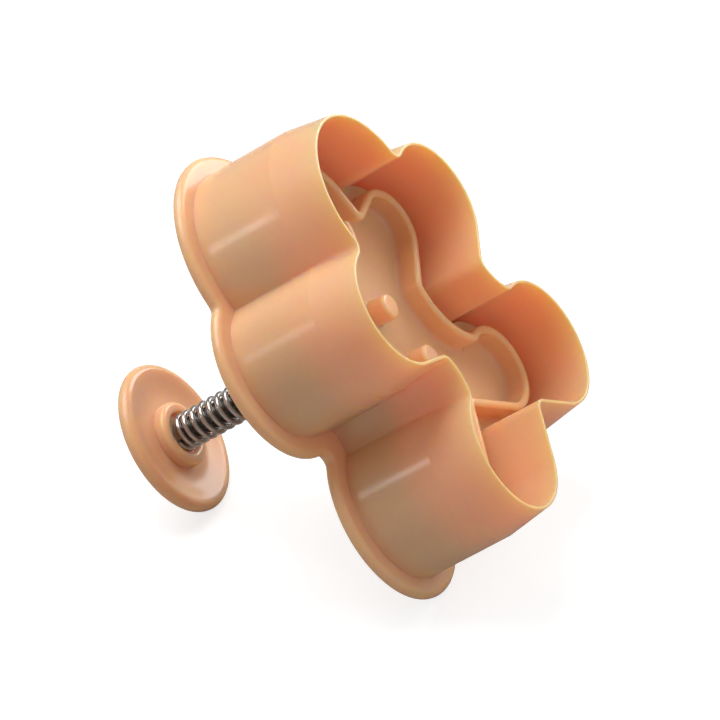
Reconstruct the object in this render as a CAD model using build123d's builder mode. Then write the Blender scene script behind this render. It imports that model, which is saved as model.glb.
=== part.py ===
"""Spring plunger cutter in the shape of a gingerbread man.

A thin-walled cutter shell with a flange and a back plate, a stamp that slides inside it on a
steel rod, a return spring round the rod and a round thumb knob. The cutter stands on its cutting
edge: the origin is the middle of the figure in the plane of that edge, +Y runs to the head and
+Z up the rod to the knob. Millimetres.
"""

from build123d import *
from math import cos, pi, radians, sin
import os

# Figure at the cutting edge
head_radius = 13.4
neck_run = 1.65
shoulder_run = 2.0
arm_radius = 10.0
arm_end_angle = -64.0
armpit_run = 6.5
waist_sag = 0.8
waist_gap = 8.35
hip_angle = 83.0
leg_radius = 10.8
leg_gap = 3.7
leg_end_angle = -130.0
corner_round = 1.6
corner_turn_share = 0.1

# Cutter shell
shell_depth = 22.8
edge_land = 0.5
bevel_height = 8.0
bevel_growth = 1.25
draft_growth = 0.15
flange_reach = 3.0
flange_thickness = 2.0
flange_corner_round = 1.2
flange_round_share = 0.47

# Rod and its guide
rod_diameter = 4.0
rod_chamfer = 0.4
rod_clearance = 0.08
press_clearance = 0.02
guide_diameter = 7.6
guide_length = 4.0

# Return spring and its seats on the back plate and under the knob
wire_diameter = 0.9
spring_diameter = 6.2
spring_gap = 0.05
end_turns = 2
end_pitch = 1.34
middle_turns = 13
seat_clearance = 0.3
seat_height = 1.0
seat_diameter = 9.4
seat_round = 0.35

# Knob
knob_diameter = 25.4
knob_edge_thickness = 2.4
knob_crown = 1.4
knob_top_z = 58.0
knob_dish_depth = 0.8
knob_dish_sag = 0.25
knob_boss_diameter = 10.8
knob_boss_height = 2.0
knob_boss_round = 0.7

# Stamp
stamp_clearance = 0.5
stamp_face_z = 12.9
stamp_thickness = 2.0
skirt_height = 3.5
skirt_wall = 1.2
ridge_inset = 4.1
ridge_width = 1.4
ridge_height = 3.8
ridge_round = 0.6
ridge_corner = 1.2
hub_diameter = 8.4
hub_floor = 0.8
stop_gap = 0.2
button_diameter = 4.2
button_height = 3.3
button_round = 0.7
upper_button_drop = 5.55
button_pitch = 10.5
eye_diameter = 2.8
eye_x = 4.4
eye_rise = 3.5
smile_drop = 2.8
smile_radius = 4.85
smile_width = 1.5
smile_half_angle = 75.0

cut_overrun = 1.0
pick_tolerance = 0.02

# Places that follow from the sizes above
figure_length = head_radius + neck_run + arm_radius * 2 + waist_gap + leg_radius * 2
head_y = figure_length / 2 - head_radius
shoulder_y = head_y - neck_run
arm_x = head_radius + shoulder_run
arm_y = shoulder_y - arm_radius
leg_x = leg_radius + leg_gap
leg_y = leg_radius - figure_length / 2
wall_growth = bevel_growth + draft_growth
back_z = shell_depth + flange_thickness
guide_z = shell_depth - guide_length
rod_radius = rod_diameter / 2
rod_foot_z = stamp_face_z + hub_floor
rod_top_z = knob_top_z - knob_crown
press_radius = rod_radius + press_clearance
knob_edge = knob_edge_thickness / 2
knob_rim_z = knob_top_z - knob_crown
knob_under_z = knob_rim_z - knob_edge_thickness
knob_dish_z = knob_under_z + knob_dish_depth
knob_boss_z = knob_dish_z - knob_boss_height
knob_seat_z = knob_boss_z + seat_height
seat_bore = spring_diameter / 2 + seat_clearance
upper_button_y = arm_y - upper_button_drop
lower_button_y = upper_button_y - button_pitch
eye_y = head_y + eye_rise
smile_y = head_y - smile_drop


def on_circle(x, y, radius, angle):
    """Point at an angle in degrees on a circle."""
    return Vector(x + radius * cos(radians(angle)), y + radius * sin(radians(angle)))


def meeting(first, first_distance, second, second_distance):
    """The point at two distances from two others, on the left of the way between them."""
    gap = second - first
    along = (gap.dot(gap) + first_distance**2 - second_distance**2) / (2 * gap.length)
    across = (first_distance**2 - along**2) ** 0.5
    way = gap.normalized()
    return first + way * along + Vector(-way.Y, way.X) * across


def sharp_corners(outline):
    """Corners where the outline turns at once."""
    corners = []
    for corner in outline.vertices():
        ways = []
        for edge in outline.edges():
            if corner in edge.vertices():
                near_start = (Vector(corner) - edge @ 0).length < (Vector(corner) - edge @ 1).length
                ways.append(edge % 0 if near_start else edge % 1)
        if ways[0].cross(ways[1]).length > corner_turn_share:
            corners.append(corner)
    return corners


def figure(height, grow, corner=corner_round, reach=0, inward_round=0):
    """The figure's outline on the plane at a height, with its inward corners rounded.

    The sharp outline grows outwards before its corners are rounded. A reach is added after
    that: it goes too far and shrinks back by inward_round, which rounds what it makes sharp.
    """
    head_r, arm_r, leg_r = [radius + grow for radius in (head_radius, arm_radius, leg_radius)]
    neck_y = shoulder_y + grow
    along = Vector(sin(radians(arm_end_angle)), -cos(radians(arm_end_angle)))
    pit = on_circle(arm_x, arm_y, arm_radius, arm_end_angle) + along * armpit_run
    hip = on_circle(leg_x, leg_y, leg_radius, hip_angle)
    chord = (hip - pit).length
    waist_radius = chord**2 / (8 * waist_sag) + waist_sag / 2
    waist = meeting(pit, waist_radius, hip, waist_radius)
    waist_r = waist_radius - grow
    arm_end = on_circle(arm_x, arm_y, arm_r, arm_end_angle)
    run = (waist - arm_end).dot(along)
    aside = (waist - arm_end - along * run).length
    armpit = arm_end + along * (run + (waist_r**2 - aside**2) ** 0.5)
    hip_corner = meeting(Vector(leg_x, leg_y), leg_r, waist, waist_r)
    waist_way = ((armpit + hip_corner) * 0.5 - waist).normalized()
    leg_turn = (hip_corner - Vector(leg_x, leg_y)).get_angle(Vector(1, 0)) - leg_end_angle
    leg_end = on_circle(leg_x, leg_y, leg_r, leg_end_angle)
    crotch_run = -leg_end.X / sin(radians(leg_end_angle))
    crotch_y = leg_end.Y - crotch_run * cos(radians(leg_end_angle))
    with BuildSketch(Plane.XY.offset(height)) as outline:
        with BuildLine():
            CenterArc((0, head_y), head_r, 0, 90)
            Line((head_r, head_y), (head_r, neck_y))
            Line((head_r, neck_y), (arm_x, neck_y))
            CenterArc((arm_x, arm_y), arm_r, arm_end_angle, 90 - arm_end_angle)
            Line(arm_end, armpit)
            ThreePointArc(armpit, waist + waist_way * waist_r, hip_corner)
            CenterArc((leg_x, leg_y), leg_r, leg_end_angle, leg_turn)
            Line(leg_end, (0, crotch_y))
            mirror(about=Plane.YZ)
        make_face()
        fillet(sharp_corners(outline), corner)
        if reach:
            offset(amount=reach + inward_round)
            offset(amount=-inward_round)
    return outline.sketch


with BuildPart() as cutter_shell:
    bevel_outline = figure(bevel_height, bevel_growth, corner_round - bevel_growth)
    wall_outline = figure(shell_depth, wall_growth, corner_round - wall_growth)
    loft([figure(0, 0), bevel_outline], ruled=True)
    loft([bevel_outline, wall_outline], ruled=True)
    reach = wall_growth + flange_reach
    flange_outline = figure(shell_depth, 0, reach=reach, inward_round=flange_corner_round)
    extrude(flange_outline, amount=flange_thickness)
    flange_edges = cutter_shell.faces().sort_by(Axis.Z)[-1].outer_wire().edges()
    fillet(flange_edges, flange_thickness * flange_round_share)
    hollow_outline = figure(-cut_overrun, -edge_land, corner_round + edge_land)
    extrude(hollow_outline, amount=cut_overrun + shell_depth, mode=Mode.SUBTRACT)
    with BuildSketch(Plane.XY.offset(guide_z)):
        Circle(guide_diameter / 2)
    extrude(amount=guide_length)
    with BuildSketch(Plane.XY.offset(back_z)):
        Circle(seat_diameter / 2)
    extrude(amount=seat_height)
    fillet(cutter_shell.faces().sort_by(Axis.Z)[-1].edges(), seat_round)
    with BuildSketch(Plane.XY.offset(back_z)):
        Circle(seat_bore)
    extrude(amount=seat_height + cut_overrun, mode=Mode.SUBTRACT)
    with BuildSketch(Plane.XY.offset(guide_z - cut_overrun)):
        Circle(rod_radius + rod_clearance)
    extrude(amount=back_z - guide_z + cut_overrun * 2, mode=Mode.SUBTRACT)
cutter_shell.part.label = "cutter_shell"

with BuildPart() as stamp_plate:
    plate_gap = edge_land + stamp_clearance
    skirt_gap = plate_gap + skirt_wall
    skirt_z = stamp_face_z + stamp_thickness
    extrude(figure(stamp_face_z, -plate_gap, corner_round + plate_gap), amount=stamp_thickness)
    skirt_outside = figure(skirt_z, -plate_gap, corner_round + plate_gap)
    skirt_inside = figure(skirt_z, -skirt_gap, corner_round + skirt_gap)
    extrude(skirt_outside - skirt_inside, amount=skirt_height)
    ridge_outside, ridge_inside = [
        figure(stamp_face_z, -ridge_inset - step, ridge_corner + step)
        for step in (-ridge_width / 2, ridge_width / 2)
    ]
    extrude(ridge_outside - ridge_inside, amount=-ridge_height)
    with BuildSketch(Plane.XY.offset(stamp_face_z)):
        with Locations((eye_x, eye_y), (-eye_x, eye_y)):
            Circle(eye_diameter / 2)
        with Locations((0, smile_y)):
            SlotArc(
                CenterArc((0, 0), smile_radius, -90 - smile_half_angle, smile_half_angle * 2),
                smile_width,
            )
    extrude(amount=-ridge_height)
    fillet(stamp_plate.edges().group_by(Axis.Z)[0], ridge_round)
    with BuildSketch(Plane.XY.offset(stamp_face_z)):
        with Locations((0, upper_button_y), (0, lower_button_y)):
            Circle(button_diameter / 2)
    extrude(amount=-button_height)
    button_tips = stamp_plate.edges().filter_by_position(
        Axis.Z,
        stamp_face_z - button_height - pick_tolerance,
        stamp_face_z - button_height + pick_tolerance,
    )
    fillet(button_tips, button_round)
    with BuildSketch(Plane.XY.offset(skirt_z)):
        Circle(hub_diameter / 2)
    extrude(amount=guide_z - stop_gap - skirt_z)
    with BuildSketch(Plane.XY.offset(rod_foot_z)):
        Circle(press_radius)
    extrude(amount=guide_z - rod_foot_z, mode=Mode.SUBTRACT)
stamp_plate.part.label = "stamp_plate"

with BuildPart() as plunger_rod:
    with BuildSketch(Plane.XY.offset(rod_foot_z + press_clearance)):
        Circle(rod_radius)
    extrude(amount=rod_top_z - rod_foot_z - press_clearance * 2)
    chamfer(plunger_rod.edges().filter_by(GeomType.CIRCLE), rod_chamfer)
plunger_rod.part.label = "plunger_rod"

with BuildPart() as knob:
    edge_x = knob_diameter / 2 - knob_edge
    boss_x = knob_boss_diameter / 2
    with BuildSketch(Plane.XZ) as knob_profile:
        with BuildLine():
            TangentArc((0, knob_top_z), (edge_x, knob_rim_z), tangent=(1, 0))
            Polyline(
                (0, knob_top_z),
                (0, rod_top_z),
                (press_radius, rod_top_z),
                (press_radius, knob_seat_z),
                (seat_bore, knob_seat_z),
                (seat_bore, knob_boss_z),
                (boss_x, knob_boss_z),
                (boss_x, knob_dish_z),
            )
            SagittaArc((boss_x, knob_dish_z), (edge_x, knob_under_z), knob_dish_sag)
            ThreePointArc(
                (edge_x, knob_under_z),
                (edge_x + knob_edge, knob_under_z + knob_edge),
                (edge_x, knob_rim_z),
            )
        make_face()
        boss_corners = knob_profile.vertices().filter_by_position(
            Axis.Z, knob_boss_z - pick_tolerance, knob_boss_z + pick_tolerance
        )
        fillet(boss_corners, knob_boss_round)
    revolve(axis=Axis.Z)
knob.part.label = "knob"

spring_foot_z = back_z + spring_gap + wire_diameter / 2
spring_rise = knob_seat_z - spring_gap - wire_diameter / 2 - spring_foot_z
middle_pitch = (spring_rise - end_turns * end_pitch * 2) / middle_turns
coil_radius = spring_diameter / 2 - wire_diameter / 2
spring_turns = middle_turns + end_turns * 2


def rise(turn):
    """Height of the wire's centre line above its foot after a number of turns."""
    low = min(turn, end_turns)
    high = max(turn - end_turns - middle_turns, 0)
    return (low + high) * end_pitch + (turn - low - high) * middle_pitch


def wire_at(turn):
    """Point and direction of the wire's centre line after a number of turns."""
    angle = turn * 2 * pi
    before = max(turn - 0.5, 0)
    after = min(turn + 0.5, spring_turns)
    slope = (rise(after) - rise(before)) / (after - before)
    point = Vector(coil_radius * cos(angle), coil_radius * sin(angle), spring_foot_z + rise(turn))
    around = coil_radius * 2 * pi
    return point, Vector(-sin(angle) * around, cos(angle) * around, slope).normalized()


with BuildPart() as return_spring:
    arcs = []
    with BuildLine() as coil:
        for half_turn in range(spring_turns * 2):
            start, leaving = wire_at(half_turn / 2)
            end, arriving = wire_at((half_turn + 1) / 2)
            chord = end - start
            both_ways = leaving + arriving
            spread = 4 - both_ways.dot(both_ways)
            along = chord.dot(both_ways)
            reach = ((along * along + spread * chord.dot(chord)) ** 0.5 - along) / spread
            first_corner = start + leaving * reach
            second_corner = end - arriving * reach
            middle = (first_corner + second_corner) * 0.5
            arcs.append(TangentArc(start, middle, tangent=leaving))
            arcs.append(TangentArc(middle, end, tangent=second_corner - first_corner))
    with BuildSketch(Plane(wire_at(0)[0], z_dir=wire_at(0)[1])):
        Circle(wire_diameter / 2)
    sweep()
return_spring.part.label = "return_spring"

# Each arc is a quarter turn: points from half a turn to two turns apart are compared
samples_per_arc = 8
half_turn_samples = samples_per_arc * 2
two_turn_samples = samples_per_arc * 8
trail = [arc @ (step / samples_per_arc) for arc in arcs for step in range(samples_per_arc)]
least_gap = min(
    (later - earlier).length - wire_diameter
    for index, earlier in enumerate(trail)
    for later in trail[index + half_turn_samples : index + two_turn_samples]
)
print("return_spring least gap between turns", round(least_gap, 3), "mm")

os.makedirs("parts", exist_ok=True)
export_step(cutter_shell.part, "parts/cutter_shell.step")
export_step(stamp_plate.part, "parts/stamp_plate.step")
export_step(plunger_rod.part, "parts/plunger_rod.step")
export_step(knob.part, "parts/knob.step")
export_step(return_spring.part, "parts/return_spring.step")
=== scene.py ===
"""Looks of a spring plunger cutter shaped as a gingerbread man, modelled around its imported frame.

The cutter stands on its cutting edge at the origin, +Y to the figure's head and +Z up the rod to
the knob. Every size is in metres. Outlines are rails: points in the XY plane, each with the
direction that points out of the shape, so that a rail is grown or shrunk by moving along it.
"""

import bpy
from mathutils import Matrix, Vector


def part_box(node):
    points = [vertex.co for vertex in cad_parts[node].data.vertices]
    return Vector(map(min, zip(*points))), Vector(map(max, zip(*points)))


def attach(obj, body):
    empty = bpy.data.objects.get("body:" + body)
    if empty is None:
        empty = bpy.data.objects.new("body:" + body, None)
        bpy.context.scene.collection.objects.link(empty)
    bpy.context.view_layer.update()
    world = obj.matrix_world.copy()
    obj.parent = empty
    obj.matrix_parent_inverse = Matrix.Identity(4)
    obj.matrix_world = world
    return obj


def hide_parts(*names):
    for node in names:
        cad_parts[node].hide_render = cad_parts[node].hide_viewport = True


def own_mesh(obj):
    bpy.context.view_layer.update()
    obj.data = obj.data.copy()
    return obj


bl_info = {
    "name": "Gingerbread man plunger cutter",
    "version": (1, 0, 0),
    "blender": (4, 5, 0),
    "location": "3D View > Sidebar > Cutter",
    "description": "Models the shell, stamp, rod, spring and knob of a plunger cutter",
    "category": "Add Mesh",
}

from math import acos, atan2, ceil, cos, hypot, pi, radians, sin

import bmesh
import bpy
from bpy.props import FloatProperty, FloatVectorProperty, IntProperty, PointerProperty
from mathutils import Matrix, Vector
from mathutils.geometry import tessellate_polygon

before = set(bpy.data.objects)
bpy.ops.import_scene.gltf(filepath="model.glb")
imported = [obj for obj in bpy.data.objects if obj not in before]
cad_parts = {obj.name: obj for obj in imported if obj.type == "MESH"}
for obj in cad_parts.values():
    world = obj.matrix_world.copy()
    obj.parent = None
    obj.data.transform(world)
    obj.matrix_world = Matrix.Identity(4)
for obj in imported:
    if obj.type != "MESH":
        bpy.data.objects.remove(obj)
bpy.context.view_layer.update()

MM = 0.001
SHELL_LOW, SHELL_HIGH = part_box("cutter_shell")
ROD_LOW, ROD_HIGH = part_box("plunger_rod")
SPRING_LOW, SPRING_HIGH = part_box("return_spring")
KNOB_LOW, KNOB_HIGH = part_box("knob")


def size(label, millimetres, text):
    """A length that the user may change, given in millimetres."""
    return FloatProperty(
        name=label, description=text, default=millimetres * MM, unit="LENGTH", precision=5
    )


def turn(label, angle, text):
    """An angle that the user may change, given in degrees."""
    return FloatProperty(name=label, description=text, default=radians(angle), unit="ROTATION")


def share(label, value, text):
    """A number from 0 to 1 that the user may change."""
    return FloatProperty(name=label, description=text, default=value, min=0, max=1, subtype="FACTOR")


def colour(label, red_green_blue, text):
    """A colour that the user may change, as linear red, green and blue."""
    return FloatVectorProperty(
        name=label, description=text, default=red_green_blue, size=3, min=0, max=1, subtype="COLOR"
    )


class FigureSizes(bpy.types.PropertyGroup):
    """The gingerbread man's outline at the cutting edge."""

    head_radius: size("Head radius", 13.4, "Radius of the round head")
    neck_run: size("Neck run", 1.65, "From the middle of the head down to the shoulders")
    shoulder_run: size("Shoulder run", 2.0, "From the neck to the middle of the arm")
    arm_radius: size("Arm radius", 10.0, "Radius of the round arms")
    arm_end: turn("Arm end", -64.0, "Where the round of the arm ends, below")
    armpit_run: size("Armpit run", 6.5, "Straight run from the arm to the armpit")
    waist_sag: size("Waist sag", 0.8, "How far the waist curves in")
    waist_gap: size("Waist gap", 8.35, "Height between the rounds of arm and leg")
    hip: turn("Hip", 83.0, "Where the waist meets the round of the leg")
    leg_radius: size("Leg radius", 10.8, "Radius of the round legs")
    leg_gap: size("Leg gap", 3.7, "From the middle of the figure to the round of a leg")
    leg_end: turn("Leg end", -130.0, "Where the round of the leg ends, inside")
    corner_round: size("Corner round", 1.6, "Rounding of the corners that point inwards")


class ShellSizes(bpy.types.PropertyGroup):
    """The cutter shell: wall, flange, back plate, guide sleeve and spring seat."""

    depth: size("Depth", 22.8, "From the cutting edge to the flange")
    land: size("Edge land", 0.5, "Width of the cutting edge")
    edge_round: size("Edge round", 0.13, "Rounding of the cutting edge")
    bevel_height: size("Bevel height", 8.0, "Height of the thinned part of the wall")
    bevel_growth: size("Bevel growth", 1.25, "How much the wall thickens over the bevel")
    draft_growth: size("Draft growth", 0.15, "How much the wall thickens above the bevel")
    root_round: size("Root round", 0.45, "Fillet between the wall and the back plate, inside")
    crease_round: size("Crease round", 0.15, "Fillet between the wall and the flange, outside")
    flange_reach: size("Flange reach", 3.0, "How far the flange stands out of the wall")
    flange_thickness: size("Flange thickness", 2.0, "Thickness of the flange and the back plate")
    flange_corner: size("Flange corner", 1.2, "Rounding of the flange's inward corners")
    guide_radius: size("Guide radius", 3.8, "Outer radius of the guide sleeve")
    guide_length: size("Guide length", 4.0, "Length of the guide sleeve")
    bore_radius: size("Bore radius", 2.08, "Radius of the rod's bore")
    seat_radius: size("Seat radius", 4.7, "Outer radius of the spring seat")
    seat_bore: size("Seat bore", 3.4, "Inner radius of the spring seats")
    seat_round: size("Seat round", 0.35, "Rounding of the spring seat")


class StampSizes(bpy.types.PropertyGroup):
    """The embossing stamp with its raised outline, buttons, eyes and smile."""

    face_z: size("Face height", 12.9, "From the cutting edge to the stamp's face at rest")
    thickness: size("Thickness", 2.0, "Thickness of the plate")
    inset: size("Inset", 1.0, "From the cutting edge's outline to the plate's edge")
    edge_round: size("Edge round", 0.3, "Rounding of the plate's edge")
    skirt_height: size("Skirt height", 3.5, "Height of the skirt behind the plate")
    skirt_wall: size("Skirt wall", 1.2, "Wall of the skirt")
    ridge_inset: size("Ridge inset", 4.1, "From the cutting edge's outline to the ridge's middle")
    ridge_width: size("Ridge width", 1.4, "Width of the raised outline")
    ridge_height: size("Ridge height", 3.8, "Height of the raised outline")
    ridge_corner: size("Ridge corner", 1.2, "Rounding of the ridge's inward corners")
    crest_round: size("Crest round", 0.6, "Rounding of raised tops")
    root_round: size("Root round", 0.3, "Fillet at the foot of what is raised")
    inner_root: size("Inner root", 0.9, "Fillet at the ridge's foot, inside")
    button_radius: size("Button radius", 2.1, "Radius of the two buttons")
    button_height: size("Button height", 3.3, "Height of the two buttons")
    upper_button_y: size("Upper button", 1.9, "Place of the upper button")
    lower_button_y: size("Lower button", -8.6, "Place of the lower button")
    eye_radius: size("Eye radius", 1.4, "Radius of the eyes")
    eye_x: size("Eye offset", 4.4, "From the middle of the face to an eye")
    eye_y: size("Eye height", 22.6, "Place of the eyes")
    smile_y: size("Smile centre", 16.3, "Centre of the smile's arc")
    smile_radius: size("Smile radius", 4.85, "Radius of the smile's arc")
    smile_width: size("Smile width", 1.5, "Width of the smile")
    smile_reach: turn("Smile reach", 75.0, "Half of the smile's arc")
    hub_radius: size("Hub radius", 4.2, "Radius of the hub that holds the rod")
    hub_bore: size("Hub bore", 2.02, "Radius of the hub's hole")
    hub_floor: size("Hub floor", 0.8, "Plastic left in front of the rod")
    stop_gap: size("Stop gap", 0.2, "Gap between the hub and the guide sleeve at rest")


class SpringSizes(bpy.types.PropertyGroup):
    """The rod and the return spring round it."""

    rod_chamfer: size("Rod chamfer", 0.4, "Chamfer of the rod's ends")
    wire_radius: size("Wire radius", 0.45, "Radius of the spring's wire")
    end_turns: FloatProperty(name="End turns", description="Closer turns at each end", default=2)
    middle_turns: FloatProperty(name="Middle turns", description="Turns between them", default=13)
    end_pitch: size("End pitch", 1.34, "Rise of one of the closer turns")
    points: IntProperty(name="Points", description="Points along each turn", default=40, min=8)


class KnobSizes(bpy.types.PropertyGroup):
    """The thumb knob."""

    edge_thickness: size("Edge thickness", 2.4, "Thickness of the round edge")
    crown: size("Crown", 1.4, "How far the thumb side rises in the middle")
    dish_depth: size("Dish depth", 0.8, "Depth of the dish that faces the shell")
    dish_bend: FloatProperty(name="Dish bend", description="How late the dish falls", default=1.8)
    boss_radius: size("Boss radius", 5.4, "Outer radius of the ring round the spring's end")
    boss_height: size("Boss height", 2.0, "Height of that ring above the dish")
    boss_round: size("Boss round", 0.7, "Rounding of that ring")
    hole_radius: size("Hole radius", 2.02, "Radius of the rod's hole")


class Finish(bpy.types.PropertyGroup):
    """Colours and gloss of the plastic and the steel."""

    plastic: colour("Plastic", (0.84, 0.49, 0.27), "Peach coloured plastic")
    glow: colour("Glow", (1.0, 0.56, 0.11), "How far each colour of light runs in the plastic")
    depth: size("Glow depth", 3.0, "How far light runs in the plastic")
    translucency: share("Translucency", 1.0, "How much light goes into the plastic")
    plastic_roughness: share("Plastic roughness", 0.2, "Roughness of the moulded surfaces")
    steel: colour("Steel", (0.52, 0.5, 0.48), "Bright steel wire")
    steel_roughness: share("Steel roughness", 0.2, "Roughness of the wire")
    grain: size("Grain", 0.35, "Size of the faint mould texture")


class Studio(bpy.types.PropertyGroup):
    """Camera, floor and lights."""

    azimuth: turn("Azimuth", 21.31, "Camera's direction round Z, from +X")
    elevation: turn("Elevation", -28.35, "Camera's height above the XY plane")
    roll: turn("Roll", 118.69, "Camera's turn about its own view")
    distance: size("Distance", 606.8, "From the camera to the point that it looks at")
    aim: FloatVectorProperty(
        name="Aim",
        description="Point that the camera looks at",
        default=(8.836 * MM, -0.056 * MM, 14.918 * MM),
        subtype="TRANSLATION",
    )
    lens: FloatProperty(name="Lens", description="Focal length in millimetres", default=200)
    floor_size: size("Floor size", 3000.0, "Side of the floor")
    floor_glow: share("Floor glow", 0.74, "Light that the camera sees in the floor itself")
    floor_white: share("Floor white", 0.42, "How much light the floor sends back")
    ambient: FloatProperty(name="Ambient", description="Strength of the white room", default=0.32)
    key_power: FloatProperty(name="Key power", description="Power of the key light", default=2.4)
    fill_power: FloatProperty(name="Fill power", description="Power of the fill light", default=0.45)
    back_power: FloatProperty(name="Back power", description="Power of the back light", default=1.25)
    strip_power: FloatProperty(name="Strip power", description="Power of the strip light", default=0.065)


class CutterSettings(bpy.types.PropertyGroup):
    """All the sizes and colours of the cutter."""

    figure: PointerProperty(type=FigureSizes)
    shell: PointerProperty(type=ShellSizes)
    stamp: PointerProperty(type=StampSizes)
    spring: PointerProperty(type=SpringSizes)
    knob: PointerProperty(type=KnobSizes)
    finish: PointerProperty(type=Finish)
    studio: PointerProperty(type=Studio)


# Rails

ARC_STEP = radians(3)
SMALL_ARC_STEPS = 8
CIRCLE_POINTS = 96
SAME_PLACE = 0.001 * MM


def direction(angle):
    """The direction at an angle in the XY plane."""
    return Vector((cos(angle), sin(angle)))


def arc(centre, radius, start, end, side=1):
    """Rail along an arc. Side is 1 where the arc bulges out of the shape, -1 where it bulges in."""
    steps = max(SMALL_ARC_STEPS, ceil(abs(end - start) / ARC_STEP))
    rail = []
    for step in range(steps + 1):
        way = direction(start + (end - start) * step / steps)
        rail.append((Vector(centre) + way * radius, way * side))
    return rail


def circle(x, y, radius):
    """Rail round a circle."""
    rail = []
    for step in range(CIRCLE_POINTS):
        way = direction(2 * pi * step / CIRCLE_POINTS)
        rail.append((Vector((x, y)) + way * radius, way))
    return rail


def mirrored(rail):
    """The same rail on the other side of the YZ plane, run backwards."""
    return [(Vector((-p.x, p.y)), Vector((-n.x, n.y))) for p, n in reversed(rail)]


def closed(right_half):
    """A closed rail from its right half, without points that lie on each other."""
    rail = []
    for point, normal in right_half + mirrored(right_half):
        if not rail or (point - rail[-1][0]).length > SAME_PLACE:
            rail.append((point, normal))
    while (rail[0][0] - rail[-1][0]).length <= SAME_PLACE:
        rail.pop()
    return rail


def angle_of(vector):
    """Angle of a vector in the XY plane."""
    return atan2(vector.y, vector.x)


def meeting(first, first_distance, second, second_distance, side):
    """The point at the given distances from two others, on the left (1) or right (-1) of them."""
    between = second - first
    span = between.length
    along = (span**2 + first_distance**2 - second_distance**2) / (2 * span)
    across = (first_distance**2 - along**2) ** 0.5
    way = between / span
    return first + way * along + Vector((-way.y, way.x)) * across * side


def figure_places(figure):
    """Middles of the head, the right arm and the right leg."""
    length = figure.head_radius + figure.neck_run + figure.waist_gap
    length += 2 * (figure.arm_radius + figure.leg_radius)
    head = Vector((0, length / 2 - figure.head_radius))
    arm_y = head.y - figure.neck_run - figure.arm_radius
    arm = Vector((figure.head_radius + figure.shoulder_run, arm_y))
    leg = Vector((figure.leg_radius + figure.leg_gap, figure.leg_radius - length / 2))
    return head, arm, leg


def crotch_ball(figure, leg, grow, ball):
    """Centre and start angle of the rounding between the legs, for an outline grown by a distance."""
    away = direction(figure.leg_end)
    along = Vector((away.y, -away.x))
    start = leg + away * (figure.leg_radius + grow + ball)
    return start + along * (-start.x / along.x), figure.leg_end + pi


def figure_rail(figure, grow=0, ball=None):
    """The gingerbread man's outline grown by a distance, its inward corners rounded by a ball."""
    head, arm, leg = figure_places(figure)
    if ball is None:
        ball = figure.corner_round
    reach = grow + ball
    neck = Vector((figure.head_radius + reach, arm.y + figure.arm_radius + reach))
    rail = arc(head, figure.head_radius + grow, pi / 2, 0)
    rail += arc(neck, ball, pi, pi * 3 / 2, -1)
    rail += arc(arm, figure.arm_radius + grow, pi / 2, figure.arm_end)

    away = direction(figure.arm_end)
    along = Vector((away.y, -away.x))
    arm_end = arm + away * figure.arm_radius
    armpit = arm_end + along * figure.armpit_run
    hip = leg + direction(figure.hip) * figure.leg_radius
    chord = (hip - armpit).length
    waist_radius = (chord**2 / 4 + figure.waist_sag**2) / (2 * figure.waist_sag)
    waist = meeting(armpit, waist_radius, hip, waist_radius, 1)

    start = arm_end + away * reach - waist
    run = start.dot(along)
    aside = (start - along * run).length
    upper = waist + start + along * ((waist_radius - reach) ** 2 - aside**2) ** 0.5 - along * run
    lower = meeting(waist, waist_radius - reach, leg, figure.leg_radius + reach, -1)
    upper_turn = angle_of(upper - waist) % (2 * pi)
    lower_turn = angle_of(lower - waist) % (2 * pi)
    rail += arc(upper, ball, figure.arm_end + pi, upper_turn, -1)
    rail += arc(waist, waist_radius - grow, upper_turn, lower_turn, -1)
    rail += arc(lower, ball, lower_turn, angle_of(leg - lower) % (2 * pi), -1)
    rail += arc(leg, figure.leg_radius + grow, angle_of(lower - leg), figure.leg_end)
    crotch, crotch_turn = crotch_ball(figure, leg, grow, ball)
    rail += arc(crotch, ball, crotch_turn, pi / 2, -1)
    return closed(rail)


def flange_rail(figure, grow, ball):
    """The outline grown by a distance, with its inward corners rounded by a ball's radius."""
    head, arm, leg = figure_places(figure)
    reach = grow + ball
    neck = meeting(head, figure.head_radius + reach, arm, figure.arm_radius + reach, 1)
    waist = meeting(arm, figure.arm_radius + reach, leg, figure.leg_radius + reach, 1)
    crotch, crotch_turn = crotch_ball(figure, leg, grow, ball)
    rail = arc(head, figure.head_radius + grow, pi / 2, angle_of(neck - head))
    rail += arc(neck, ball, angle_of(head - neck) % (2 * pi), angle_of(arm - neck) % (2 * pi), -1)
    rail += arc(arm, figure.arm_radius + grow, angle_of(neck - arm), angle_of(waist - arm))
    rail += arc(waist, ball, angle_of(arm - waist), angle_of(leg - waist) % (2 * pi), -1)
    rail += arc(leg, figure.leg_radius + grow, angle_of(waist - leg), figure.leg_end)
    rail += arc(crotch, ball, crotch_turn, pi / 2, -1)
    return closed(rail)


def smile_rail(stamp):
    """Outline of the smile: an arc with round ends."""
    centre = Vector((0, stamp.smile_y))
    half = stamp.smile_width / 2
    end = stamp.smile_reach - pi / 2
    tip = centre + direction(end) * stamp.smile_radius
    rail = arc(centre, stamp.smile_radius - half, -pi / 2, end, -1)
    rail += arc(tip, half, end + pi, end)
    rail += arc(centre, stamp.smile_radius + half, end, -pi / 2)
    return closed(rail)


# Meshes

HOLD = 0.08 * MM
ROUND_STEPS = 5
BEAD_STEPS = 12
KNOB_FACE_STEPS = 16
KNOB_EDGE_STEPS = 24
WIRE_SIDES = 16


def quarter(grow, z, radius, start, end):
    """Profile points round a corner, from one angle in degrees to another."""
    turns = [radians(start + (end - start) * step / ROUND_STEPS) for step in range(ROUND_STEPS + 1)]
    return [(grow + radius * cos(angle), z + radius * sin(angle)) for angle in turns]


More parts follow.
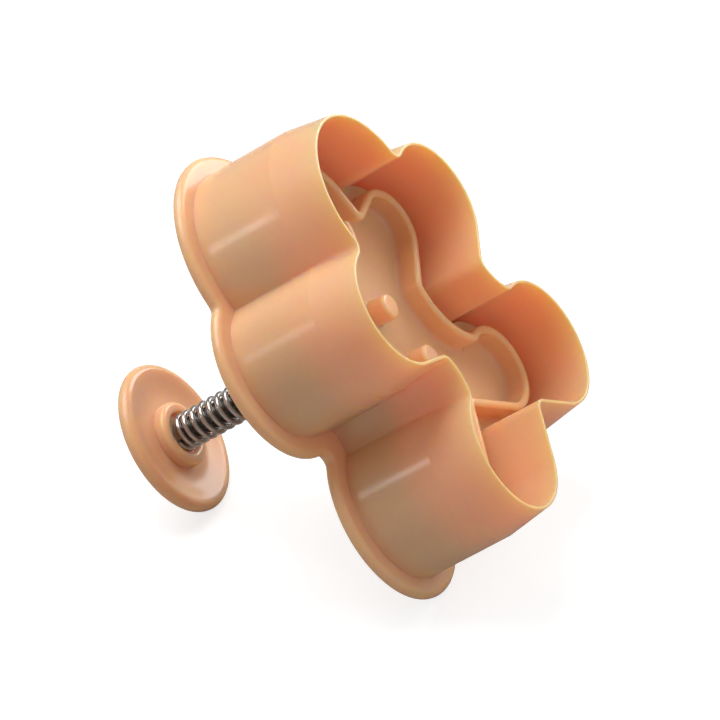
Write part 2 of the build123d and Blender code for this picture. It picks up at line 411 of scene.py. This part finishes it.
def held(profile):
    """The profile with extra points close to the ends of its long runs, which keep them straight."""
    points = [profile[0]]
    for (grow, z), (next_grow, next_z) in zip(profile, profile[1:]):
        run = hypot(next_grow - grow, next_z - z)
        if run > HOLD * 4:
            for part in (HOLD / run, 1 - HOLD / run):
                points.append((grow + (next_grow - grow) * part, z + (next_z - z) * part))
        if run > 0:
            points.append((next_grow, next_z))
    return points


class Shape:
    """A mesh in the making: rings of points, skins between rings and flat caps on them."""

    def __init__(self):
        self.points = []
        self.faces = []
        self.flat = []

    def ring(self, rail, grow, z):
        """Adds the rail, grown by a distance, at a height."""
        first = len(self.points)
        for point, normal in rail:
            place = point + normal * grow
            self.points.append((place.x, place.y, z))
        return list(range(first, len(self.points)))

    def sweep(self, rail, profile, start=None):
        """Skins the rail along a profile of growths and heights, and gives the two end rings."""
        rings = [self.ring(rail, grow, z) for grow, z in held(profile)]
        if start:
            self.skin(start, rings[0])
        for ring, after in zip(rings, rings[1:]):
            self.skin(ring, after)
        return rings[0], rings[-1]

    def skin(self, ring, after):
        """Quads between two rings of as many points."""
        for here, there in zip(range(-1, len(ring) - 1), range(len(ring))):
            self.faces.append((ring[here], ring[there], after[there], after[here]))

    def cap(self, *rings):
        """A flat face inside the first ring, with the other rings as holes."""
        loops = [[Vector(self.points[index]) for index in ring] for ring in rings]
        indexes = [index for ring in rings for index in ring]
        for corners in tessellate_polygon(loops):
            self.flat.append(len(self.faces))
            self.faces.append(tuple(indexes[corner] for corner in corners))

    def tip(self, ring, z):
        """Closes a ring round the Z axis with a point on the axis."""
        self.points.append((0, 0, z))
        top = len(self.points) - 1
        for here, there in zip(range(-1, len(ring) - 1), range(len(ring))):
            self.faces.append((ring[here], ring[there], top))

    def build(self, name, material):
        """The finished object, with its faces pointing out."""
        mesh = bpy.data.meshes.new(name)
        mesh.from_pydata(self.points, [], self.faces)
        mesh.shade_smooth()
        for index in self.flat:
            mesh.polygons[index].use_smooth = False
        work = bmesh.new()
        work.from_mesh(mesh)
        bmesh.ops.recalc_face_normals(work, faces=work.faces)
        work.to_mesh(mesh)
        work.free()
        mesh.materials.append(material)
        piece = bpy.data.objects.new(name, mesh)
        bpy.context.scene.collection.objects.link(piece)
        return piece


def stud(shape, rail, foot_z, height, crest, root):
    """Adds a raised feature that stands towards the cutting edge, and gives its foot ring."""
    top_z = foot_z - height
    profile = quarter(root, foot_z - root, root, 90, 180)
    profile += quarter(-crest, top_z + crest, crest, 0, -90)
    foot, top = shape.sweep(rail, profile)
    shape.cap(top)
    return foot


def place(piece, body, node, slot):
    """Makes a piece move with its body and hides its CAD node."""
    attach(piece, body)
    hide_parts(node)


# Materials

NOISE_LOW = 0.3
NOISE_HIGH = 0.7
MOTTLE_SCALE = 60
HAZE_SCALE = 140
STREAK_SCALE = 1500
PALE_SHARES = (1.04, 1.07, 1.12)
HAZE_LESS = 0.03
HAZE_MORE = 0.04
STREAK_SHARES = (0.7, 1.4)
GRAIN_STRENGTH = 0.06
GRAIN_DEPTH = 0.02 * MM
PLASTIC_IOR = 1.49


def new_material(name):
    """An empty material with its shader, and its node and link lists."""
    material = bpy.data.materials.new(name)
    material.use_nodes = True
    tree = material.node_tree
    return material, tree.nodes, tree.links, tree.nodes["Principled BSDF"]


def noise(nodes, links, scale, detail, coordinates):
    """A noise texture on the piece's own coordinates."""
    texture = nodes.new("ShaderNodeTexNoise")
    texture.inputs["Scale"].default_value = scale
    texture.inputs["Detail"].default_value = detail
    links.new(coordinates.outputs["Object"], texture.inputs["Vector"])
    return texture


def blend_range(nodes, links, source, low, high):
    """Maps a noise onto a range, from its usual lowest to its usual highest value."""
    spread = nodes.new("ShaderNodeMapRange")
    spread.clamp = False
    spread.inputs["From Min"].default_value = NOISE_LOW
    spread.inputs["From Max"].default_value = NOISE_HIGH
    spread.inputs["To Min"].default_value = low
    spread.inputs["To Max"].default_value = high
    links.new(source, spread.inputs["Value"])
    return spread.outputs["Result"]


def plastic_material(finish, name, lightness):
    """Moulded peach plastic: slightly translucent, semi-gloss, faintly mottled and grained."""
    material, nodes, links, shader = new_material(name)
    coordinates = nodes.new("ShaderNodeTexCoord")
    mottle = noise(nodes, links, MOTTLE_SCALE, 0, coordinates)
    tint = nodes.new("ShaderNodeMix")
    tint.data_type = "RGBA"
    base = Vector(finish.plastic) * lightness
    tint.inputs["A"].default_value = (base.x, base.y, base.z, 1)
    pale = base * Vector(PALE_SHARES)
    tint.inputs["B"].default_value = (pale.x, pale.y, pale.z, 1)
    links.new(blend_range(nodes, links, mottle.outputs["Fac"], 0, 1), tint.inputs["Factor"])
    links.new(tint.outputs["Result"], shader.inputs["Base Color"])
    rough = finish.plastic_roughness
    haze = noise(nodes, links, HAZE_SCALE, 0, coordinates)
    links.new(
        blend_range(nodes, links, haze.outputs["Fac"], rough - HAZE_LESS, rough + HAZE_MORE),
        shader.inputs["Roughness"],
    )
    shader.inputs["Subsurface Weight"].default_value = finish.translucency
    shader.inputs["Subsurface Radius"].default_value = finish.glow
    shader.inputs["Subsurface Scale"].default_value = finish.depth
    shader.inputs["IOR"].default_value = PLASTIC_IOR
    grain = noise(nodes, links, 1 / finish.grain, 2, coordinates)
    bump = nodes.new("ShaderNodeBump")
    bump.inputs["Strength"].default_value = GRAIN_STRENGTH
    bump.inputs["Distance"].default_value = GRAIN_DEPTH
    links.new(grain.outputs["Fac"], bump.inputs["Height"])
    links.new(bump.outputs["Normal"], shader.inputs["Normal"])
    return material


def steel_material(finish, name, lightness):
    """Bright drawn steel with fine lines along the wire's coat."""
    material, nodes, links, shader = new_material(name)
    coordinates = nodes.new("ShaderNodeTexCoord")
    streak = noise(nodes, links, STREAK_SCALE, 3, coordinates)
    base = Vector(finish.steel) * lightness
    shader.inputs["Base Color"].default_value = (base.x, base.y, base.z, 1)
    shader.inputs["Metallic"].default_value = 1
    rough = finish.steel_roughness
    links.new(
        blend_range(nodes, links, streak.outputs["Fac"], *(rough * part for part in STREAK_SHARES)),
        shader.inputs["Roughness"],
    )
    return material


# Pieces


class CUTTER_OT_shell(bpy.types.Operator):
    """Adds the cutter shell: wall, flange, back plate, guide sleeve and spring seat"""

    bl_idname = "cutter.shell"
    bl_label = "Add cutter shell"

    def execute(self, context):
        settings = context.scene.cutter
        sizes = settings.shell
        shape = Shape()
        edge = figure_rail(settings.figure)
        depth = sizes.depth
        back_z = depth + sizes.flange_thickness
        small = sizes.edge_round
        root = sizes.root_round
        wall_growth = sizes.bevel_growth + sizes.draft_growth

        wall = quarter(-sizes.land - root, depth - root, root, 90, 0)
        wall += quarter(-sizes.land + small, small, small, 180, 270)
        wall += quarter(-small, small, small, -90, 0)
        wall.append((sizes.bevel_growth, sizes.bevel_height))
        crease = sizes.crease_round
        wall += quarter(wall_growth + crease, depth - crease, crease, 180, 90)
        floor_ring, front_ring = shape.sweep(edge, wall)

        half = sizes.flange_thickness / 2
        middle = wall_growth + sizes.flange_reach - half
        lip = flange_rail(settings.figure, middle, sizes.flange_corner + half)
        turns = [radians(-90 + 180 * step / BEAD_STEPS) for step in range(BEAD_STEPS + 1)]
        rim = [(half * cos(angle), depth + half + half * sin(angle)) for angle in turns]
        lip_front, lip_back = shape.sweep(lip, rim)
        shape.cap(lip_front, front_ring)

        axis = circle(0, 0, 0)
        soft = sizes.seat_round
        seat_top = SHELL_HIGH.z
        seat = [(sizes.seat_radius, back_z)]
        seat += quarter(sizes.seat_radius - soft, seat_top - soft, soft, 0, 90)
        seat += quarter(sizes.seat_bore + soft, seat_top - soft, soft, 90, 180)
        seat.append((sizes.seat_bore, back_z))
        seat_foot, seat_floor = shape.sweep(axis, seat)
        shape.cap(lip_back, seat_foot)
        guide_z = depth - sizes.guide_length
        bore_top, bore_foot = shape.sweep(
            axis, [(sizes.bore_radius, back_z), (sizes.bore_radius, guide_z)]
        )
        shape.cap(seat_floor, bore_top)
        sleeve_foot, sleeve_root = shape.sweep(
            axis, [(sizes.guide_radius, guide_z), (sizes.guide_radius, depth)]
        )
        shape.cap(sleeve_foot, bore_foot)
        shape.cap(floor_ring, sleeve_root)

        piece = shape.build("shell_body", plastic_material(settings.finish, "shell_plastic", 1.0))
        place(piece, "shell", "cutter_shell", "shell_plastic")
        return {"FINISHED"}


class CUTTER_OT_stamp(bpy.types.Operator):
    """Adds the stamp with its raised outline, buttons, eyes, smile, skirt and hub"""

    bl_idname = "cutter.stamp"
    bl_label = "Add stamp"

    def execute(self, context):
        settings = context.scene.cutter
        sizes = settings.stamp
        shape = Shape()
        edge = figure_rail(settings.figure)
        face_z = sizes.face_z
        rear_z = face_z + sizes.thickness
        skirt_z = rear_z + sizes.skirt_height
        soft = sizes.edge_round
        root = sizes.root_round
        crest = sizes.crest_round

        side = quarter(-sizes.inset - soft, face_z + soft, soft, -90, 0)
        side.append((-sizes.inset, skirt_z))
        side.append((-sizes.inset - sizes.skirt_wall, skirt_z))
        side.append((-sizes.inset - sizes.skirt_wall, rear_z))
        face_ring, rear_ring = shape.sweep(edge, side)

        middle = figure_rail(settings.figure, -sizes.ridge_inset, sizes.ridge_corner)
        half = sizes.ridge_width / 2
        top_z = face_z - sizes.ridge_height
        ridge = quarter(half + root, face_z - root, root, 90, 180)
        ridge += quarter(half - crest, top_z + crest, crest, 0, -90)
        ridge += quarter(crest - half, top_z + crest, crest, -90, -180)
        inner = sizes.inner_root
        ridge += quarter(-half - inner, face_z - inner, inner, 0, 90)
        outer_foot, inner_foot = shape.sweep(middle, ridge)
        shape.cap(face_ring, outer_foot)

        feet = []
        for button_y in (sizes.upper_button_y, sizes.lower_button_y):
            rail = circle(0, button_y, sizes.button_radius)
            feet.append(stud(shape, rail, face_z, sizes.button_height, crest, root))
        for eye_x in (sizes.eye_x, -sizes.eye_x):
            rail = circle(eye_x, sizes.eye_y, sizes.eye_radius)
            feet.append(stud(shape, rail, face_z, sizes.ridge_height, crest, root))
        feet.append(stud(shape, smile_rail(sizes), face_z, sizes.ridge_height, crest, root))
        shape.cap(inner_foot, *feet)

        axis = circle(0, 0, 0)
        hub_top = settings.shell.depth - settings.shell.guide_length - sizes.stop_gap
        hub = [
            (sizes.hub_radius, rear_z),
            (sizes.hub_radius, hub_top),
            (sizes.hub_bore, hub_top),
            (sizes.hub_bore, face_z + sizes.hub_floor),
        ]
        hub_foot, hole_floor = shape.sweep(axis, hub)
        shape.cap(rear_ring, hub_foot)
        shape.cap(hole_floor)

        piece = shape.build("stamp_body", plastic_material(settings.finish, "stamp_plastic", 1.02))
        place(piece, "plunger", "stamp_plate", "stamp_plastic")
        return {"FINISHED"}


class CUTTER_OT_rod(bpy.types.Operator):
    """Adds the steel rod"""

    bl_idname = "cutter.rod"
    bl_label = "Add rod"

    def execute(self, context):
        settings = context.scene.cutter
        radius = ROD_HIGH.x
        chamfer = settings.spring.rod_chamfer
        shape = Shape()
        profile = [
            (radius - chamfer, ROD_LOW.z),
            (radius, ROD_LOW.z + chamfer),
            (radius, ROD_HIGH.z - chamfer),
            (radius - chamfer, ROD_HIGH.z),
        ]
        foot, top = shape.sweep(circle(0, 0, 0), profile)
        shape.cap(foot)
        shape.cap(top)
        piece = shape.build("rod_body", steel_material(settings.finish, "rod_steel", 0.8))
        place(piece, "plunger", "plunger_rod", "rod_steel")
        return {"FINISHED"}


class CUTTER_OT_knob(bpy.types.Operator):
    """Adds the thumb knob with its ring round the spring's end"""

    bl_idname = "cutter.knob"
    bl_label = "Add knob"

    def execute(self, context):
        settings = context.scene.cutter
        sizes = settings.knob
        shape = Shape()
        axis = circle(0, 0, 0)
        top_z = KNOB_HIGH.z
        edge = sizes.edge_thickness / 2
        edge_x = KNOB_HIGH.x - edge
        rim_z = top_z - sizes.crown
        under_z = rim_z - sizes.edge_thickness
        dish_z = under_z + sizes.dish_depth
        boss_z = dish_z - sizes.boss_height
        seat_z = boss_z + SHELL_HIGH.z - settings.shell.depth - settings.shell.flange_thickness
        soft = sizes.boss_round
        bore = settings.shell.seat_bore

        profile = [(sizes.hole_radius, rim_z), (sizes.hole_radius, seat_z), (bore, seat_z)]
        profile += quarter(bore + soft, boss_z + soft, soft, 180, 270)
        profile += quarter(sizes.boss_radius - soft, boss_z + soft, soft, -90, 0)
        run = edge_x - sizes.boss_radius
        for step in range(KNOB_FACE_STEPS + 1):
            part = step / KNOB_FACE_STEPS
            ease = part**sizes.dish_bend
            sink = sizes.dish_depth * ease**2 * (3 - 2 * ease)
            profile.append((sizes.boss_radius + run * part, dish_z - sink))
        for step in range(1, KNOB_EDGE_STEPS):
            angle = radians(-90 + 180 * step / KNOB_EDGE_STEPS)
            profile.append((edge_x + edge * cos(angle), under_z + edge + edge * sin(angle)))
        for step in range(KNOB_FACE_STEPS):
            part = 1 - step / KNOB_FACE_STEPS
            profile.append((edge_x * part, rim_z + sizes.crown * (1 - part**2)))
        hole, middle = shape.sweep(axis, profile)
        shape.cap(hole)
        shape.tip(middle, top_z)
        piece = shape.build("knob_body", plastic_material(settings.finish, "knob_plastic", 0.95))
        place(piece, "plunger", "knob", "knob_plastic")
        return {"FINISHED"}


def spring_tree():
    """Geometry Nodes tree that winds a wire with closer turns at its ends."""
    tree = bpy.data.node_groups.new("wound_spring", "GeometryNodeTree")
    face = tree.interface
    numbers = (
        "Foot", "Coil Radius", "Wire Radius", "End Turns", "Middle Turns", "End Pitch", "Middle Pitch"
    )
    for name in numbers:
        face.new_socket(name, in_out="INPUT", socket_type="NodeSocketFloat")
    face.new_socket("Points", in_out="INPUT", socket_type="NodeSocketInt")
    face.new_socket("Material", in_out="INPUT", socket_type="NodeSocketMaterial")
    face.new_socket("Geometry", in_out="OUTPUT", socket_type="NodeSocketGeometry")
    nodes, links = tree.nodes, tree.links
    given = nodes.new("NodeGroupInput").outputs

    def value(operation, *sources):
        """A math node on sockets and numbers."""
        node = nodes.new("ShaderNodeMath")
        node.operation = operation
        for socket, source in zip(node.inputs, sources):
            if isinstance(source, (int, float)):
                socket.default_value = source
            else:
                links.new(source, socket)
        return node.outputs[0]

    turns = value("ADD", value("MULTIPLY", given["End Turns"], 2), given["Middle Turns"])
    line = nodes.new("GeometryNodeMeshLine")
    links.new(value("ADD", value("MULTIPLY", turns, given["Points"]), 1), line.inputs["Count"])
    here = value("DIVIDE", nodes.new("GeometryNodeInputIndex").outputs[0], given["Points"])
    first = value("MINIMUM", here, given["End Turns"])
    last_start = value("ADD", given["End Turns"], given["Middle Turns"])
    last = value("MAXIMUM", value("SUBTRACT", here, last_start), 0)
    close_turns = value("ADD", first, last)
    open_turns = value("SUBTRACT", here, close_turns)
    close_rise = value("MULTIPLY", close_turns, given["End Pitch"])
    open_rise = value("MULTIPLY", open_turns, given["Middle Pitch"])
    height = value("ADD", value("ADD", close_rise, open_rise), given["Foot"])
    angle = value("MULTIPLY", here, 2 * pi)
    point = nodes.new("ShaderNodeCombineXYZ")
    links.new(value("MULTIPLY", value("COSINE", angle), given["Coil Radius"]), point.inputs["X"])
    links.new(value("MULTIPLY", value("SINE", angle), given["Coil Radius"]), point.inputs["Y"])
    links.new(height, point.inputs["Z"])
    move = nodes.new("GeometryNodeSetPosition")
    links.new(line.outputs["Mesh"], move.inputs["Geometry"])
    links.new(point.outputs["Vector"], move.inputs["Position"])
    path = nodes.new("GeometryNodeMeshToCurve")
    links.new(move.outputs["Geometry"], path.inputs["Mesh"])
    section = nodes.new("GeometryNodeCurvePrimitiveCircle")
    section.inputs["Resolution"].default_value = WIRE_SIDES
    links.new(given["Wire Radius"], section.inputs["Radius"])
    tube = nodes.new("GeometryNodeCurveToMesh")
    tube.inputs["Fill Caps"].default_value = True
    links.new(path.outputs["Curve"], tube.inputs["Curve"])
    links.new(section.outputs["Curve"], tube.inputs["Profile Curve"])
    real = nodes.new("GeometryNodeRealizeInstances")
    links.new(tube.outputs["Mesh"], real.inputs["Geometry"])
    paint = nodes.new("GeometryNodeSetMaterial")
    links.new(real.outputs["Geometry"], paint.inputs["Geometry"])
    links.new(given["Material"], paint.inputs["Material"])
    result = nodes.new("NodeGroupOutput")
    links.new(paint.outputs["Geometry"], result.inputs["Geometry"])
    return tree


class CUTTER_OT_spring(bpy.types.Operator):
    """Adds the return spring"""

    bl_idname = "cutter.spring"
    bl_label = "Add return spring"

    def execute(self, context):
        settings = context.scene.cutter
        sizes = settings.spring
        wire = sizes.wire_radius
        foot = SPRING_LOW.z + wire
        rise = SPRING_HIGH.z - wire - foot
        values = {
            "Foot": foot,
            "Coil Radius": SPRING_HIGH.x - wire,
            "Wire Radius": wire,
            "End Turns": sizes.end_turns,
            "Middle Turns": sizes.middle_turns,
            "End Pitch": sizes.end_pitch,
            "Middle Pitch": (rise - sizes.end_turns * 2 * sizes.end_pitch) / sizes.middle_turns,
            "Points": sizes.points,
            "Material": steel_material(settings.finish, "spring_steel", 1.0),
        }
        carrier = bpy.data.objects.new("spring_carrier", bpy.data.meshes.new("spring_carrier"))
        context.scene.collection.objects.link(carrier)
        winding = carrier.modifiers.new("winding", "NODES")
        winding.node_group = spring_tree()
        for item in winding.node_group.interface.items_tree:
            if item.in_out == "INPUT":
                winding[item.identifier] = values[item.name]
        context.view_layer.update()
        evaluated = carrier.evaluated_get(context.evaluated_depsgraph_get())
        mesh = bpy.data.meshes.new_from_object(evaluated)
        carrier.modifiers.remove(winding)
        bpy.data.objects.remove(carrier)
        mesh.name = "spring_coil"
        mesh.shade_smooth()
        piece = bpy.data.objects.new("spring_coil", mesh)
        context.scene.collection.objects.link(piece)
        place(piece, "shell", "return_spring", "spring_steel")
        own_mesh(piece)
        return {"FINISHED"}


# Studio

LIGHT_DISTANCE = 500 * MM
FILL_DISTANCE = 600 * MM
KEY_WAY = (-0.35, 0.9, 0.3)
KEY_SIDE = 400 * MM
STRIP_WAY = (-0.9, 0.1, 0.42)
STRIP_SIDE = 60 * MM
BACK_WAY = (0.6, 0.7, -0.35)
BACK_SIDE = 300 * MM
FILL_WAY = (0.8, 0.2, 0.5)
FILL_SIDE = 500 * MM


def camera_axes(studio):
    """The camera's rotation: its right, its up and the way back from what it sees."""
    back = Vector(
        (
            cos(studio.elevation) * cos(studio.azimuth),
            cos(studio.elevation) * sin(studio.azimuth),
            sin(studio.elevation),
        )
    )
    level_right = Vector((0, 0, 1)).cross(back).normalized()
    level_up = back.cross(level_right)
    up = level_up * cos(studio.roll) + level_right * sin(studio.roll)
    return up.cross(back), up, back


def floor_frame(settings):
    """The floor that the cutter lies on: it touches the legs' flange and the knob's edge."""
    shell = settings.shell
    flange = Vector((SHELL_LOW.y + shell.flange_thickness / 2, shell.depth + shell.flange_thickness / 2))
    knob_edge = settings.knob.edge_thickness / 2
    knob = Vector((KNOB_LOW.y + knob_edge, KNOB_HIGH.z - settings.knob.crown - knob_edge))
    between = knob - flange
    lean = acos((knob_edge - shell.flange_thickness / 2) / between.length)
    slope = angle_of(between) - lean
    normal = Vector((0, cos(slope), sin(slope)))
    touch = Vector((0, flange.x, flange.y)) - normal * shell.flange_thickness / 2
    return touch, normal


def floor_material(studio):
    """White floor that keeps shadows, seen from its upper side only."""
    material, nodes, links, shader = new_material("studio_floor")
    nodes.remove(shader)
    ray = nodes.new("ShaderNodeLightPath")
    seen = nodes.new("ShaderNodeMath")
    seen.operation = "MULTIPLY"
    links.new(ray.outputs["Is Camera Ray"], seen.inputs[0])
    seen.inputs[1].default_value = studio.floor_glow
    glow = nodes.new("ShaderNodeEmission")
    glow.inputs["Color"].default_value = (1, 1, 1, 1)
    links.new(seen.outputs[0], glow.inputs["Strength"])
    white = nodes.new("ShaderNodeBsdfDiffuse")
    tone = studio.floor_white
    white.inputs["Color"].default_value = (tone, tone, tone, 1)
    both = nodes.new("ShaderNodeAddShader")
    links.new(glow.outputs[0], both.inputs[0])
    links.new(white.outputs[0], both.inputs[1])
    clear = nodes.new("ShaderNodeBsdfTransparent")
    side = nodes.new("ShaderNodeNewGeometry")
    choose = nodes.new("ShaderNodeMixShader")
    links.new(side.outputs["Backfacing"], choose.inputs["Fac"])
    links.new(both.outputs[0], choose.inputs[1])
    links.new(clear.outputs[0], choose.inputs[2])
    links.new(choose.outputs[0], nodes["Material Output"].inputs["Surface"])
    return material


def add_light(name, studio, camera_way, distance, side, power):
    """A square soft light, placed by the camera's right, up and back and turned to the cutter."""
    aim = Vector(studio.aim)
    shares = zip(camera_axes(studio), camera_way)
    way = sum((axis * part for axis, part in shares), Vector()).normalized()
    light = bpy.data.lights.new(name, "AREA")
    light.shape = "SQUARE"
    light.size = side
    light.energy = power
    lamp = bpy.data.objects.new(name, light)
    lamp.location = aim + way * distance
    lamp.rotation_euler = way.to_track_quat("Z", "Y").to_euler()
    bpy.context.scene.collection.objects.link(lamp)
    return lamp


class CUTTER_OT_stage(bpy.types.Operator):
    """Adds the camera, the white floor and room, and soft lights"""

    bl_idname = "cutter.stage"
    bl_label = "Add studio"

    def execute(self, context):
        settings = context.scene.cutter
        studio = settings.studio
        right, up, back = camera_axes(studio)
        data = bpy.data.cameras.new("studio_camera")
        data.lens = studio.lens
        camera = bpy.data.objects.new("studio_camera", data)
        turned = Matrix((right, up, back)).transposed().to_4x4()
        camera.matrix_world = Matrix.Translation(Vector(studio.aim) + back * studio.distance) @ turned
        context.scene.collection.objects.link(camera)
        context.scene.camera = camera

        touch, normal = floor_frame(settings)
        half = studio.floor_size / 2
        corners = [(-half, -half, 0), (half, -half, 0), (half, half, 0), (-half, half, 0)]
        mesh = bpy.data.meshes.new("studio_floor")
        mesh.from_pydata(corners, [], [(0, 1, 2, 3)])
        mesh.materials.append(floor_material(studio))
        floor = bpy.data.objects.new("studio_floor", mesh)
        floor.matrix_world = Matrix.Translation(touch) @ normal.to_track_quat("Z", "Y").to_matrix().to_4x4()
        context.scene.collection.objects.link(floor)

        world = bpy.data.worlds.new("white_room")
        world.use_nodes = True
        nodes, links = world.node_tree.nodes, world.node_tree.links
        room = nodes["Background"]
        ray = nodes.new("ShaderNodeLightPath")
        through = nodes.new("ShaderNodeMath")
        through.operation = "MAXIMUM"
        links.new(ray.outputs["Is Camera Ray"], through.inputs[0])
        links.new(ray.outputs["Is Transmission Ray"], through.inputs[1])
        level = nodes.new("ShaderNodeMapRange")
        level.inputs["To Min"].default_value = studio.ambient
        level.inputs["To Max"].default_value = 1
        links.new(through.outputs[0], level.inputs["Value"])
        room.inputs["Color"].default_value = (1, 1, 1, 1)
        links.new(level.outputs["Result"], room.inputs["Strength"])
        context.scene.world = world
        context.scene.view_settings.view_transform = "Standard"

        add_light("key_light", studio, KEY_WAY, LIGHT_DISTANCE, KEY_SIDE, studio.key_power)
        add_light("strip_light", studio, STRIP_WAY, LIGHT_DISTANCE, STRIP_SIDE, studio.strip_power)
        add_light("back_light", studio, BACK_WAY, LIGHT_DISTANCE, BACK_SIDE, studio.back_power)
        add_light("fill_light", studio, FILL_WAY, FILL_DISTANCE, FILL_SIDE, studio.fill_power)
        return {"FINISHED"}


class CUTTER_PT_panel(bpy.types.Panel):
    """Lists the cutter's pieces and their sizes"""

    bl_label = "Plunger cutter"
    bl_idname = "CUTTER_PT_panel"
    bl_space_type = "VIEW_3D"
    bl_region_type = "UI"
    bl_category = "Cutter"

    def draw(self, context):
        settings = context.scene.cutter
        for step in STEPS:
            self.layout.operator(step.bl_idname)
        for group in ("figure", "shell", "stamp", "spring", "knob", "finish", "studio"):
            box = self.layout.box()
            box.label(text=group.capitalize())
            values = getattr(settings, group)
            for name in values.__annotations__:
                box.prop(values, name)


STEPS = (
    CUTTER_OT_shell,
    CUTTER_OT_stamp,
    CUTTER_OT_rod,
    CUTTER_OT_spring,
    CUTTER_OT_knob,
    CUTTER_OT_stage,
)
GROUPS = (FigureSizes, ShellSizes, StampSizes, SpringSizes, KnobSizes, Finish, Studio, CutterSettings)


def register():
    """Registers the classes and puts the settings on the scene."""
    for part in GROUPS + STEPS + (CUTTER_PT_panel,):
        bpy.utils.register_class(part)
    bpy.types.Scene.cutter = PointerProperty(type=CutterSettings)


def unregister():
    """Undoes register."""
    del bpy.types.Scene.cutter
    for part in reversed(GROUPS + STEPS + (CUTTER_PT_panel,)):
        bpy.utils.unregister_class(part)


def main():
    """Makes the cutter and its studio."""
    register()
    bpy.ops.cutter.shell()
    bpy.ops.cutter.stamp()
    bpy.ops.cutter.rod()
    bpy.ops.cutter.spring()
    bpy.ops.cutter.knob()
    bpy.ops.cutter.stage()


if __name__ == "__main__":
    main()
